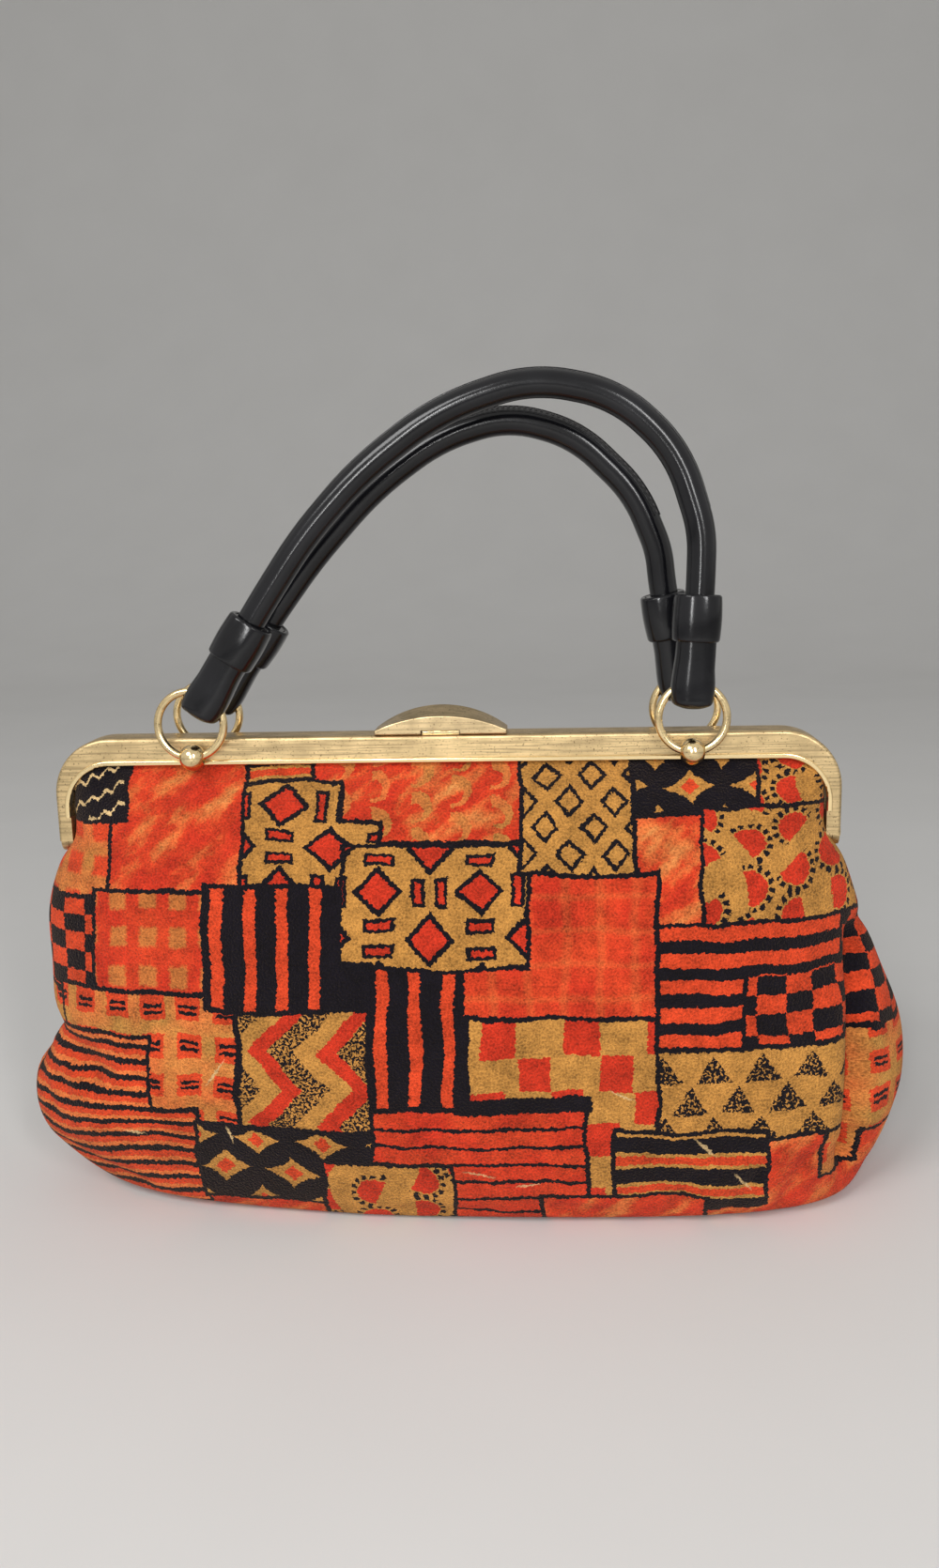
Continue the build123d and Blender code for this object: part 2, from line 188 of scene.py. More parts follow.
# Skew of the right end to the back, and rise of the lower left corner: how far in mm, and where they start
# and end as shares of the bag's half-length, half-depth and pouch height, or in mm up from the base
RIGHT_SKEW = 12.0
SKEW_SPAN = (0.68, 1.06)
SKEW_TOP = 0.62
SKEW_FOOT = 14
LEFT_RISE = 15.0
RISE_SPAN = (0.15, 0.85)
RISE_DEPTH = 0.62
RISE_TOP = 60
# Depth in mm over which the back takes the front's creases at the ends
END_BLEND = 16.0
# Slow waves: height, and lengths along and up in mm
WAVE_HEIGHT = 0.6
WAVES = ((23, 31), (37, -19))
# Gathers below the lip: height, length in mm and phase, and where they start and fade, in mm down the cloth
GATHERS = ((0.5, 2.2, 0), (0.4, 3.7, 1))
GATHER_START = (2, 6)
GATHER_END = (5, 24)
# Creases start this far down the cloth and up from the base, in mm
CREASE_START = (0, 30)
CREASE_FOOT = (0.5, 6)
# Pleat in the right gusset, pinch at the left, and other bulges and creases: start x and z, end x and z,
# width and height in mm
FRONT_CREASES = (
    (157, 106, 152, 20, 4.6, -8.0),
    (145, 84, 141, 34, 8.0, 2.4),
    (-172, 78, -134, 60, 6.5, -4.4),
    (-160, 30, -136, 36, 15.0, 2.4),
    (-166, 66, -146, 50, 3.0, -1.6),
    (-164, 60, -152, 40, 2.6, -1.2),
    (-150, 66, -128, 70, 3.0, -1.0),
    (98, 16, 112, 18, 14.0, 1.8),
    (84, 6, 92, 22, 3.0, -1.1),
    (104, 4, 116, 24, 3.0, -1.2),
    (126, 6, 134, 28, 3.5, -1.3),
    (140, 30, 158, 26, 3.5, -1.3),
    (-118, 10, -150, 24, 3.0, -1.0),
    (-20, 4, 18, 7, 3.0, -0.8),
    (30, 9, 62, 6, 3.0, -0.8),
)
BACK_CREASES = (
    (-158, 100, -160, 22, 6.0, -4.0),
    (150, 90, 156, 20, 6.0, -3.0),
    (-120, 8, -140, 26, 3.5, -1.2),
    (96, 6, 120, 22, 3.5, -1.2),
)


def spline(values, count):
    """Values on a smooth curve through the given ones, count to each step."""
    points = np.array(values, float)
    padded = np.vstack([2 * points[0] - points[1], points, 2 * points[-1] - points[-2]])
    rows = []
    for i in range(len(points) - 1):
        p0, p1, p2, p3 = padded[i:i + 4]
        for t in np.arange(count) / count:
            bend = 2 * p0 - 5 * p1 + 4 * p2 - p3
            twist = 3 * p1 - p0 - 3 * p2 + p3
            rows.append((2 * p1 + (p2 - p0) * t + bend * t * t + twist * t ** 3) / 2)
    rows.append(points[-1])
    return np.array(rows)


def smooth_step(value, low, high):
    share = np.clip((value - low) / (high - low), 0, 1)
    return share * share * (3 - 2 * share)


def section(left, right, depth, left_square, right_square, columns):
    """Front half of one level from its left end to its right, evenly spaced, and the run along it."""
    angle = np.linspace(np.pi, 0, FINE)
    cosine = np.cos(angle)
    power = 2 / np.where(cosine < 0, left_square, right_square)
    x = np.where(cosine < 0, left, right) * np.sign(cosine) * np.abs(cosine) ** power
    y = -depth * np.abs(np.sin(angle)) ** power
    run = np.concatenate([[0], np.cumsum(np.hypot(np.diff(x), np.diff(y)))])
    even = np.linspace(0, run[-1], columns + 1)
    middle = np.interp(0, x, run)
    return np.interp(even, run, x), np.interp(even, run, y), even - middle


def grid_normals(grid, side):
    """Outward normals of a grid whose rows run down the cloth and whose columns run to the right."""
    normals = np.cross(np.gradient(grid, axis=0), np.gradient(grid, axis=1)) * -side
    return normals / np.maximum(np.linalg.norm(normals, axis=2, keepdims=True), 1e-9)


def crease_height(x, z, creases):
    """How far the creases and bulges lift the cloth at each point."""
    height = np.zeros_like(x)
    for x0, z0, x1, z1, width, lift in creases:
        along = ((x - x0) * (x1 - x0) + (z - z0) * (z1 - z0)) / ((x1 - x0) ** 2 + (z1 - z0) ** 2)
        along = np.clip(along, 0, 1)
        away = np.hypot(x - x0 - along * (x1 - x0), z - z0 - along * (z1 - z0))
        height += lift * np.exp(-(away / width) ** 2)
    return height


def ripples(x, z, side):
    """Slow waves all over the cloth."""
    (long_x, long_z), (short_x, short_z) = WAVES
    return WAVE_HEIGHT * (np.sin(x / long_x + z / long_z) + np.sin(x / short_x + z / short_z + side))


def cloth_half(side, per_level, columns):
    """Grid of one half of the cloth in mm, its outward normals, and each point's run along and down it."""
    levels = spline(LEVELS, per_level)
    grid = np.zeros((len(levels), columns + 1, 3))
    along = np.zeros((len(levels), columns + 1))
    for row, (z, left, right, depth_share, *squares) in enumerate(levels):
        x, y, run = section(left, right, depth_share * half_depth, *squares, columns)
        grid[row] = np.stack([x, -side * y, np.full_like(x, z)], axis=1)
        along[row] = run
    steps = np.hypot(np.diff(levels[:, 3]) * half_depth, np.diff(levels[:, 0]))
    down = np.repeat(np.concatenate([[0], np.cumsum(steps)])[:, None], columns + 1, axis=1)
    x, z = grid[..., 0].copy(), grid[..., 2].copy()
    level_y = np.abs(grid[..., 1])
    skew_x = smooth_step(x, *(share * half_length for share in SKEW_SPAN))
    skew_z = (1 - smooth_step(z, SKEW_TOP * pouch_height, hinge_z)) * smooth_step(z, 0, SKEW_FOOT)
    grid[..., 1] += RIGHT_SKEW * skew_x * skew_z
    rise_x = smooth_step(-x, *(share * half_length for share in RISE_SPAN))
    rise_y = smooth_step(level_y, RISE_DEPTH * half_depth, half_depth)
    grid[..., 2] += LEFT_RISE * rise_x * rise_y * (1 - smooth_step(z, 0, RISE_TOP))
    lift = crease_height(x, z, FRONT_CREASES) + ripples(x, z, FRONT)
    if side == BACK:
        end_share = 1 - smooth_step(level_y, 0, END_BLEND)
        back_lift = crease_height(x, z, BACK_CREASES) + ripples(x, z, BACK)
        lift = end_share * lift + (1 - end_share) * back_lift
    lift *= smooth_step(down, *CREASE_START) * smooth_step(z, *CREASE_FOOT)
    gather = sum(height * np.sin(along / length + shift) for height, length, shift in GATHERS)
    lift += gather * smooth_step(down, *GATHER_START) * (1 - smooth_step(down, *GATHER_END))
    grid += grid_normals(grid, side) * lift[..., None]
    return grid, grid_normals(grid, side), along, down


def sheet_object(name, outer, inner, along, down, side):
    """Closed thin sheet between two grids in mm, with the runs along and down the cloth as its UV map."""
    rows, columns = along.shape
    index = np.arange(rows * columns).reshape(rows, columns)
    quads = np.stack([index[:-1, :-1], index[1:, :-1], index[1:, 1:], index[:-1, 1:]], axis=2).reshape(-1, 4)
    if side == BACK:
        quads = quads[:, ::-1]
    border = np.concatenate([index[0, :-1], index[:-1, -1], index[-1, :0:-1], index[:0:-1, 0]])
    after = np.roll(border, -1)
    rim = np.stack([border, after, after + rows * columns, border + rows * columns], axis=1)
    if side == BACK:
        rim = rim[:, ::-1]
    faces = np.concatenate([quads, quads[:, ::-1] + rows * columns, rim])
    points = np.concatenate([outer.reshape(-1, 3), inner.reshape(-1, 3)]) * MM
    mesh = bpy.data.meshes.new(name)
    mesh.from_pydata(points.tolist(), [], faces.tolist())
    runs = np.tile(np.stack([along.ravel() * -side, down.ravel()], axis=1), (2, 1))
    layer = mesh.uv_layers.new(name="cloth")
    layer.data.foreach_set("uv", runs[faces.ravel()].astype(np.float32).ravel())
    mesh.polygons.foreach_set("use_smooth", np.ones(len(faces), dtype=bool))
    mesh.update()
    obj = bpy.data.objects.new(name, mesh)
    bpy.context.scene.collection.objects.link(obj)
    return obj


class Graph:
    """Short forms for building a material's nodes."""

    def __init__(self, name):
        self.material = bpy.data.materials.new(name)
        self.material.use_nodes = True
        self.tree = self.material.node_tree
        self.shader = self.tree.nodes["Principled BSDF"]

    def put(self, socket, value):
        """Links a socket or sets a constant."""
        if isinstance(value, bpy.types.NodeSocket):
            self.tree.links.new(value, socket)
        elif hasattr(value, "__len__") and socket.type == "RGBA":
            socket.default_value = (*value, 1)
        else:
            socket.default_value = value

    def add(self, kind, inputs=None, **settings):
        node = self.tree.nodes.new(kind)
        for key, value in settings.items():
            setattr(node, key, value)
        for key, value in (inputs or {}).items():
            self.put(node.inputs[key], value)
        return node

    def math(self, operation, a, b=0.0, c=0.0):
        node = self.add("ShaderNodeMath", {0: a, 1: b, 2: c}, operation=operation)
        return node.outputs[0]

    def mix(self, share, a, b, blend="MIX"):
        node = self.add("ShaderNodeMix", data_type="RGBA", blend_type=blend)
        self.put(node.inputs["Factor"], share)
        self.put(node.inputs["A"], a)
        self.put(node.inputs["B"], b)
        return node.outputs["Result"]

    def noise(self, vector, scale, detail=2.0):
        return self.add("ShaderNodeTexNoise", {"Vector": vector, "Scale": scale, "Detail": detail})

    def ramp(self, value, low, high):
        node = self.add("ShaderNodeMapRange", {"Value": value, "From Min": low, "From Max": high})
        return node.outputs["Result"]

    def below(self, value, limit):
        return self.math("LESS_THAN", value, limit)

    def near(self, value, place, reach):
        """1 within reach of a place."""
        return self.math("COMPARE", value, place, reach)

    def both(self, a, b):
        return self.math("MULTIPLY", a, b)

    def either(self, a, b):
        return self.math("MAXIMUM", a, b)

    def length(self, a, b):
        return self.math("SQRT", self.math("ADD", self.both(a, a), self.both(b, b)))

    def fold(self, value, pitch, shift=0.0):
        """Distance from the middle of the cell that the value is in."""
        cell = self.math("WRAP", self.math("ADD", value, shift), pitch / 2, -pitch / 2)
        return self.math("ABSOLUTE", cell)

    def phase(self, value, pitch, shift=0.0):
        """Place within a repeat, from 0 to 1."""
        return self.math("FRACT", self.math("MULTIPLY_ADD", value, 1 / pitch, shift))

    def bump(self, height, strength, distance, before=None):
        inputs = {"Height": height, "Strength": strength, "Distance": distance}
        if before is not None:
            inputs["Normal"] = before
        return self.add("ShaderNodeBump", inputs).outputs["Normal"]


# Gilt colours, how far out the frame's polished bead starts in mm and how rough it is, and its wear
BAND_GILT = (0.74, 0.55, 0.29)
BEAD_GILT = (0.88, 0.68, 0.37)
CLASP_GILT = (0.66, 0.50, 0.28)
BEAD_Y = 7.3
BEAD_ROUGH = 0.16
DULL_SHARE = 0.48
WEAR = 0.7
SPECKS = 0.75
SPECK_COLOUR = (0.10, 0.065, 0.03)

# Leather, thread, lining and board colours
LEATHER_COLOURS = ((0.003, 0.003, 0.004), (0.008, 0.008, 0.010))
THREAD_COLOURS = ((0.018, 0.017, 0.018), (0.075, 0.07, 0.07))
LINING_COLOURS = ((0.030, 0.027, 0.027), (0.070, 0.063, 0.062))
SLUB_COLOUR = (0.055, 0.048, 0.046)
BOARD_COLOURS = ((0.34, 0.26, 0.17), (0.48, 0.39, 0.27))
STAIN_COLOUR = (0.36, 0.29, 0.20)
# Pitch of the lining's weave, in mm
WEAVE_PITCH = 0.9

# Cloth colours
RED = (0.60, 0.036, 0.014)
BRIGHT = (0.69, 0.062, 0.018)
ORANGE = (0.75, 0.18, 0.046)
GOLD = (0.54, 0.25, 0.056)
# Pale orange of the painted highlights in the marble
PALE_HIGHLIGHT = (0.82, 0.35, 0.10)
CREAM = (0.72, 0.50, 0.24)
BLACK = (0.006, 0.005, 0.009)

# Black line round each patch in mm, and how fine the specks in some fields are
OUTLINE = 1.8
SPECK_SCALE = 1.1


# Motifs of the cloth's patches, each from the runs along and down the cloth in mm
def spot(g, u, v):
    return g.add("ShaderNodeCombineXYZ", {"X": u, "Y": v}).outputs[0]


def blended(g, u, v, scale, first, second):
    """Two colours that run into each other in soft clouds."""
    cloud = g.noise(spot(g, u, v), scale).outputs["Fac"]
    return g.mix(g.ramp(cloud, 0.35, 0.65), first, second)


def soft_red(g, u, v):
    return blended(g, u, v, 0.06, RED, BRIGHT)


def mixed_gold(g, u, v):
    return blended(g, u, v, 0.05, GOLD, ORANGE)


def specks(g, u, v, limit):
    """Grains where fine noise passes a limit."""
    grain = g.noise(spot(g, u, v), SPECK_SCALE, 0.0).outputs["Fac"]
    return g.math("GREATER_THAN", grain, limit)


def marble(g, u, v):
    """Slanting streaks from red through orange, and pale streaks that are painted highlights on the pile."""
    scale, detail = 0.062, 4.0
    squeeze, stretch = 1.3, 0.55
    across = g.math("MULTIPLY", g.math("ADD", u, v), squeeze)
    along = g.math("MULTIPLY", g.math("SUBTRACT", u, v), stretch)
    streak = g.noise(spot(g, across, along), scale, detail).outputs["Fac"]
    colour = RED
    # The cloth's red and orange mottle, then pale painted highlights
    for low, high, tint in ((0.38, 0.54, BRIGHT), (0.50, 0.62, ORANGE), (0.62, 0.76, PALE_HIGHLIGHT)):
        colour = g.mix(g.ramp(streak, low, high), colour, tint)
    return colour


def commas(g, u, v):
    """Marble with rows of curled marks."""
    pitch, drop, half_row = 15.0, 6.5, 7.5
    radius, start, strength = 5.0, -1.0, 0.8
    taper, thickness = -0.16, 1.5
    column = g.math("FLOOR", g.math("MULTIPLY", u, 1 / pitch))
    a = g.math("SUBTRACT", g.math("WRAP", u, pitch, 0.0), radius)
    b = g.math("WRAP", g.math("MULTIPLY_ADD", column, drop, v), half_row, -half_row)
    off = g.math("ABSOLUTE", g.math("SUBTRACT", g.length(a, b), radius))
    curl = g.below(off, g.math("MULTIPLY_ADD", b, taper, thickness))
    mark = g.both(curl, g.math("GREATER_THAN", a, start))
    return g.mix(g.math("MULTIPLY", mark, strength), marble(g, u, v), mixed_gold(g, u, v))


def lozenges(g, u, v):
    """Red diamonds and bars edged in black on gold."""
    wide, high = 37.0, 34.0
    shift_u, shift_v = 22.0, -54.0
    bar_u, bar_v = 14.2, 12.2
    a, b = g.fold(u, wide, shift_u), g.fold(v, high, shift_v)
    middle = g.math("ADD", a, b)
    nearest = g.math("MINIMUM", middle, g.math("SUBTRACT", (wide + high) / 2, middle))
    marks = []
    for diamond, half_bar, upright_reach, level_reach in ((9.4, 2.5, 6.4, 5.6), (6.8, 1.1, 4.8, 4.2)):
        upright = g.both(g.near(a, bar_u, half_bar), g.below(b, upright_reach))
        level = g.both(g.below(a, level_reach), g.near(b, bar_v, half_bar))
        marks.append(g.either(g.below(nearest, diamond), g.either(upright, level)))
    dark, light = marks
    return g.mix(light, g.mix(dark, GOLD, BLACK), RED)


def lattice(g, u, v):
    """Black diamond rings on gold."""
    wide, high, slope = 17.0, 21.0, 0.85
    shift_u, shift_v = 3.0, 2.0
    corner, ring, half_line = 17.4, 4.7, 1.0
    a, b = g.fold(u, wide, shift_u), g.fold(v, high, shift_v)
    spread = g.math("MULTIPLY_ADD", b, slope, a)
    other = g.math("SUBTRACT", corner, spread)
    rings = g.either(g.near(spread, ring, half_line), g.near(other, ring, half_line))
    return g.mix(rings, GOLD, BLACK)


def stars(g, u, v):
    """Gold four-pointed stars with red hearts on black."""
    wide, high = 25.0, 30.0
    shift_u, shift_v = 82.0, -163.0
    arm_reach, leg_reach, hollow, heart_reach = 10.0, 7.6, 0.75, 3.6
    a, b = g.fold(u, wide, shift_u), g.fold(v, high, shift_v)
    opposite = (g.math("SUBTRACT", wide / 2, a), g.math("SUBTRACT", high / 2, b))
    points, hearts = [], []
    for off_u, off_v in ((a, b), opposite):
        arm = g.math("POWER", g.math("MULTIPLY", off_u, 1 / arm_reach), hollow)
        leg = g.math("POWER", g.math("MULTIPLY", off_v, 1 / leg_reach), hollow)
        points.append(g.math("ADD", arm, leg))
        hearts.append(g.math("ADD", off_u, off_v))
    star = g.below(g.math("MINIMUM", *points), 1.0)
    heart = g.below(g.math("MINIMUM", *hearts), heart_reach)
    return g.mix(heart, g.mix(star, BLACK, GOLD), BRIGHT)


def fans(g, u, v):
    """Red half-rounds, each turned its own way, with a dotted black edge on gold."""
    wide, high, drop = 17.5, 16.5, 6.0
    red_radius, rim_radius, half_rim, cut = 6.3, 7.9, 1.1, -2.2
    dot_count, dot_cut = 15, -0.2
    column = g.math("FLOOR", g.math("MULTIPLY", u, 1 / wide))
    lowered = g.math("MULTIPLY_ADD", column, drop, v)
    row = g.math("FLOOR", g.math("MULTIPLY", lowered, 1 / high))
    cell = {"Vector": spot(g, column, row)}
    chance = g.add("ShaderNodeTexWhiteNoise", cell, noise_dimensions="2D").outputs["Value"]
    turn = g.math("MULTIPLY", chance, 2 * math.pi)
    a = g.math("SUBTRACT", g.math("WRAP", u, wide, 0.0), wide / 2)
    b = g.math("SUBTRACT", g.math("WRAP", lowered, high, 0.0), high / 2)
    away = g.length(a, b)
    side = g.math("ADD", g.both(a, g.math("COSINE", turn)), g.both(b, g.math("SINE", turn)))
    half = g.math("GREATER_THAN", side, cut)
    around = g.math("MULTIPLY", g.math("ARCTAN2", a, b), dot_count)
    dots = g.math("GREATER_THAN", g.math("SINE", around), dot_cut)
    rim = g.both(g.both(g.near(away, rim_radius, half_rim), dots), half)
    return g.mix(g.both(g.below(away, red_radius), half), g.mix(rim, GOLD, BLACK), RED)


def level_stripes(g, u, v):
    pitch, shift, red_share = 9.75, 0.096, 0.54
    return g.mix(g.below(g.phase(v, pitch, shift), red_share), BLACK, BRIGHT)


def upright_stripes(g, u, v):
    pitch, shift, red_share = 12.2, 0.926, 0.36
    return g.mix(g.below(g.phase(u, pitch, shift), red_share), BLACK, BRIGHT)


def checker(g, u, v):
    wide, high = 10.5, 7.2
    column = g.math("FLOOR", g.math("MULTIPLY", u, 1 / wide))
    row = g.math("FLOOR", g.math("MULTIPLY", v, 1 / high))
    odd = g.math("FLOORED_MODULO", g.math("ADD", column, row), 2.0)
    return g.mix(g.below(odd, 0.5), BLACK, BRIGHT)


def soft_plaid(g, u, v):
    """Faint orange bars that cross on red."""
    wide, high, strength = 13.0, 12.4, 0.24
    upright = g.ramp(g.fold(u, wide), 4.2, 5.8)
    level = g.ramp(g.fold(v, high), 4.4, 5.8)
    bars = g.math("MULTIPLY", g.math("ADD", upright, level), strength)
    return g.mix(bars, soft_red(g, u, v), ORANGE)


def gold_squares(g, u, v):
    """Rows of soft gold squares on red."""
    wide, high, strength = 12.2, 14.4, 0.62
    square = g.both(g.ramp(g.fold(u, wide), 4.0, 2.8), g.ramp(g.fold(v, high), 4.4, 3.2))
    return g.mix(g.math("MULTIPLY", square, strength), soft_red(g, u, v), GOLD)


def red_squares(g, u, v):
    """Red squares on gold, each row stepped from the one above."""
    left, top = 15.5, 100.6
    pitch, high, step, red_share = 30.0, 13.0, -12.4, 0.40
    row = g.math("FLOOR", g.math("MULTIPLY", g.math("SUBTRACT", v, top), 1 / high))
    stepped = g.math("MULTIPLY_ADD", row, step, g.math("SUBTRACT", u, left))
    return g.mix(g.below(g.phase(stepped, pitch), red_share), GOLD, RED)


def zigzag(g, u, v):
    """Upright zigzags in red, gold and speckled gold."""
    top, reach, pitch, shift = 98.0, 14.0, 26.0, 0.437
    bent = g.math("ADD", u, g.math("PINGPONG", g.math("SUBTRACT", v, top), reach))
    place = g.phase(bent, pitch, shift)
    rough = g.mix(specks(g, u, v, 0.52), BLACK, GOLD)
    bands = g.mix(g.near(place, 0.705, 0.195), GOLD, rough)
    return g.mix(g.near(place, 0.36, 0.15), bands, RED)


def triangles(g, u, v):
    """Rows of speckled black triangles on gold."""
    wide, high, shift = 18.0, 11.2, 0.9
    tip, half_base = 0.10, 7.8
    row = g.math("FLOOR", g.math("MULTIPLY_ADD", v, 1 / high, shift))
    a = g.fold(g.math("MULTIPLY_ADD", row, wide / 2, u), wide)
    spread = g.math("MULTIPLY", g.math("SUBTRACT", g.phase(v, high, shift), tip), half_base)
    return g.mix(g.both(g.below(a, spread), specks(g, u, v, 0.42)), GOLD, BLACK)


def thin_lines(g, u, v):
    pitch, shift, black_share = 7.4, 0.05, 0.20
    return g.mix(g.below(g.phase(v, pitch, shift), black_share), soft_red(g, u, v), BLACK)


def hashes(g, u, v):
    """Red squares on mixed gold, each with short black strokes."""
    wide, high = 14.5, 14.7
    shift_u, shift_v = 94.0, -112.0
    stroke_pitch, stroke_shift, stroke_gap = 2.4, 0.6, 0.5
    a, b = g.fold(u, wide, shift_u), g.fold(v, high, shift_v)
    square = g.both(g.below(a, 4.8), g.below(b, 4.6))
    lines = g.math("GREATER_THAN", g.fold(v, stroke_pitch, stroke_shift), stroke_gap)
    strokes = g.both(g.both(g.below(a, 3.6), g.below(b, 2.4)), lines)
    return g.mix(strokes, g.mix(square, mixed_gold(g, u, v), BRIGHT), BLACK)


def tinted_plaid(g, u, v):
    """Broad gold bars that cross on red."""
    wide, high, strength = 13.0, 15.0, 0.8
    bars = g.either(g.ramp(g.fold(u, wide), 3.2, 4.6), g.ramp(g.fold(v, high), 3.6, 5.2))
    return g.mix(g.math("MULTIPLY", bars, strength), BRIGHT, mixed_gold(g, u, v))


def edged_stripes(g, u, v):
    """Black and gold stripes with a red core."""
    pitch, shift, black_share = 12.4, 0.3, 0.52
    place = g.phase(v, pitch, shift)
    return g.mix(g.near(place, 0.76, 0.13), g.mix(g.below(place, black_share), GOLD, BLACK), BRIGHT)


def fine_stripes(g, u, v):
    pitch, black_share, red_end = 6.2, 0.36, 0.74
    place = g.phase(v, pitch)
    return g.mix(g.below(place, black_share), g.mix(g.below(place, red_end), ORANGE, BRIGHT), BLACK)


def plain_black(g, u, v):
    return BLACK


def scribbles(g, u, v):
    """Cream zigzag lines on black."""
    slope, reach, pitch, cream_share = 0.55, 3.0, 9.5, 0.16
    bent = g.math("ADD", g.math("MULTIPLY_ADD", u, slope, v), g.math("PINGPONG", u, reach))
    return g.mix(g.below(g.phase(bent, pitch), cream_share), BLACK, CREAM)


# Patches over the cloth, from the lowest layer up: the motif, then each rectangle of the patch as left,
# top, right and bottom in mm from the middle of the frame's lip
PATCHES = (
    (marble, (-420, -20, 420, 420)),
    (hashes, (-215, 90, -150, 146)),
    (tinted_plaid, (-170, 24, -124, 62)),
    (marble, (-127, -20, -72, 57)),
    (scribbles, (-160, -20, -119, 27)),
    (checker, (-175, 57, -131, 96)),
    (hashes, (-152, 91, -75, 113), (-112, 91, -75, 139), (-93, 130, -66, 154)),
    (gold_squares, (-133, 54, -86, 93)),
    (fine_stripes, (-172, 108, -109, 142), (-172, 136, -91, 190)),
    (stars, (-94, 142, -24, 178)),
    (zigzag, (-76, 96, -25, 143)),
    (upright_stripes, (-88, 51, -34, 98)),
    (commas, (-50, -20, 31, 36)),
    (edged_stripes, (-75, -20, -47, 11)),
    (lozenges, (-75, 9, -36, 53), (-42, 25, -22, 53)),
    (lozenges, (-37, 35, 34, 83)),
    (lattice, (29, -20, 73, 49)),
    (stars, (71, -20, 119, 25)),
    (fans, (117, -20, 165, 25)),
    # Marble patch placed on a highlight of the pile: its pale streaks paint that highlight
    (marble, (71, 24, 97, 68)),
    (fans, (95, 22, 168, 68)),
    (soft_plaid, (32, 47, 80, 101), (6, 81, 40, 101)),
    (level_stripes, (78, 66, 152, 113)),
    (checker, (110, 84, 195, 113), (150, 66, 195, 113)),
    (plain_black, (-38, 80, -24, 98)),
    (upright_stripes, (-27, 81, 9, 143)),
    (red_squares, (7, 99, 80, 131), (52, 120, 80, 171)),
    (triangles, (78, 111, 152, 147)),
    (hashes, (150, 111, 205, 154), (139, 145, 161, 168)),
    (thin_lines, (-27, 132, 54, 190)),
    (plain_black, (5, 99, 11, 134), (5, 129, 55, 135)),
    (fans, (-46, 155, 5, 190)),
    (edged_stripes, (62, 142, 120, 176)),
    (marble, (36, 169, 98, 210)),
)
# Painted highlights on the pile, short pale marks: middle along and down, half-length and half-width in mm,
# and slope in degrees
PILE_HIGHLIGHTS = (
    (96, 149, 5.5, 0.55, 42), (110, 163, 4.5, 0.5, 48), (-84, 121, 6.0, 0.5, -58), (66, 128, 4.0, 0.5, 25),
    (-80, 148, 3.5, 0.5, 80), (14, 160, 5.0, 0.45, 8), (31, 165, 4.0, 0.45, -12), (-118, 149, 4.0, 0.45, 15),
)
PILE_HIGHLIGHT_STRENGTH = 0.75
# Wavering of the pattern's edges: noise scale and reach in mm
WOBBLES = ((0.75, 2.1), (0.05, 5.0))
# Tufts of the pile: noise scale and detail, and height in mm
TUFT = (1.15, 2.0)
TUFT_HEIGHT = 1.4
# Painted shade and sheen on the pile, light and dark by tufts, its lie and brush marks: noise scale and
# detail, its range and its share
SHADE_BASE = 0.20
SHADES = ((*TUFT, 0.25, 0.75, 0.80), (0.055, 3.0, 0.3, 0.7, 0.38), (0.22, 2.0, 0.3, 0.7, 0.26))


